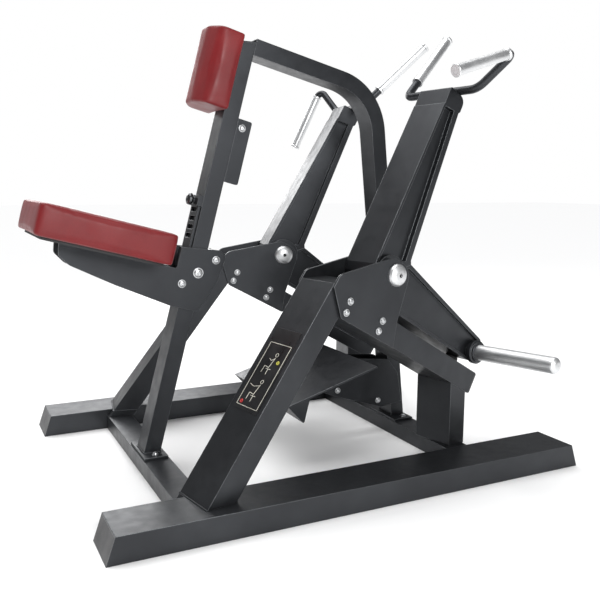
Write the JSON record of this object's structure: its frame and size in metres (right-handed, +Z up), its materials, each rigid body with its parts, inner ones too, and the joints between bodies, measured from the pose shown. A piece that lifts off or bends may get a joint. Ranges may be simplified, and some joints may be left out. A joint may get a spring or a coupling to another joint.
{
  "type": "plate-loaded seated row machine",
  "caption": "Chest-supported seated row machine with independent toed-in lever arms, weight horns, swivel handles and a height-adjustable seat.",
  "frame": {"origin": "on the floor, at the centre of the machine's footprint box", "axes": "+X from the seat towards the weight horns, +Y to the sitter's left, +Z up"},
  "size_m": [1.5506, 1.2818, 1.3683],
  "materials": {
    "charcoal_paint": "satin metallic powder coat",
    "polished_steel": "satin silver",
    "zinc_steel": "zinc plated",
    "bush_bronze": "machined",
    "red_upholstery": "satin grained",
    "black_board": "matte",
    "black_rubber": "matte",
    "black_placard": "satin",
    "dark_metal": "black oxide"
  },
  "bodies": {
    "frame": {"base_rail_left": "charcoal_paint", "base_rail_right": "charcoal_paint", "chest_pad_board": "black_board", "chest_pad_cushion": "red_upholstery", "foot_plate": "charcoal_paint", "foot_plate_supports": "charcoal_paint", "frame_bolts": "zinc_steel", "front_crossbeam": "charcoal_paint", "leg_left": "charcoal_paint", "leg_right": "charcoal_paint", "lever_buffers": "black_rubber", "mast": "charcoal_paint", "mast_bracket_plate": "charcoal_paint", "mast_foot_flange": "charcoal_paint", "mast_top_plug": "charcoal_paint", "pin_housing": "charcoal_paint", "pivot_caps": "polished_steel", "pivot_plate_bolts": "zinc_steel", "pivot_plate_inner_left": "charcoal_paint", "pivot_plate_inner_right": "charcoal_paint", "pivot_plate_outer_left": "charcoal_paint", "pivot_plate_outer_right": "charcoal_paint", "pivot_shafts": "polished_steel", "placard_plate": "black_placard", "rail_end_plates": "charcoal_paint", "rear_beam_end_caps": "charcoal_paint", "rear_beam_left": "charcoal_paint", "rear_beam_right": "charcoal_paint", "rear_crossbeam": "charcoal_paint", "rear_post_left": "charcoal_paint", "rear_post_right": "charcoal_paint", "spine_foot_flange": "charcoal_paint", "spine_tube": "charcoal_paint"},
    "right_arm": {"fixed_grip_right": "polished_steel", "fixed_handle_bar_right": "charcoal_paint", "horn_collar_right": "charcoal_paint", "lever_arm_right": "charcoal_paint", "lever_hub_right": "charcoal_paint", "lower_lever_right": "charcoal_paint", "pivot_bush_right": "bush_bronze", "weight_horn_right": "polished_steel"},
    "left_arm": {"fixed_grip_left": "polished_steel", "fixed_handle_bar_left": "charcoal_paint", "horn_collar_left": "charcoal_paint", "lever_arm_left": "charcoal_paint", "lever_hub_left": "charcoal_paint", "lower_lever_left": "charcoal_paint", "pivot_bush_left": "bush_bronze", "weight_horn_left": "polished_steel"},
    "right_handle": {"swivel_grip_right": "polished_steel", "swivel_handle_bar_right": "charcoal_paint"},
    "left_handle": {"swivel_grip_left": "polished_steel", "swivel_handle_bar_left": "charcoal_paint"},
    "seat_carriage": {"adjuster_rack": "charcoal_paint", "carriage_bolts": "zinc_steel", "carriage_frame": "charcoal_paint", "carriage_rollers": "zinc_steel", "seat_board": "black_board", "seat_cushion": "red_upholstery"},
    "pull_pin": {"pull_pin_knob": "dark_metal"}
  },
  "joints": [
    {"name": "right_arm_hinge", "type": "hinge", "parent": "frame", "child": "right_arm", "pos_m": [0.16261, -0.34686, 0.617], "axis": [0.1857, -0.9826, 0], "range_deg": [0, 45]},
    {"name": "left_arm_hinge", "type": "hinge", "parent": "frame", "child": "left_arm", "pos_m": [0.16261, 0.34686, 0.617], "axis": [-0.1857, -0.9826, 0], "range_deg": [0, 45]},
    {"name": "right_handle_swivel", "type": "hinge", "parent": "right_arm", "child": "right_handle", "pos_m": [0.45194, -0.43467, 1.15], "axis": [0.1857, -0.9826, 0], "range_deg": [-12, 60]},
    {"name": "left_handle_swivel", "type": "hinge", "parent": "left_arm", "child": "left_handle", "pos_m": [0.45194, 0.43467, 1.15], "axis": [-0.1857, -0.9826, 0], "range_deg": [-60, 12]},
    {"name": "seat_slide", "type": "slide", "parent": "frame", "child": "seat_carriage", "axis": [0.2538, 0, 0.9673], "range_m": [0, 0.108]},
    {"name": "pin_pull", "type": "slide", "parent": "frame", "child": "pull_pin", "axis": [-0.9673, 0, 0.2538], "range_m": [0, 0.014], "stiffness_N_per_m": 600, "springref_m": -0.004}
  ]
}
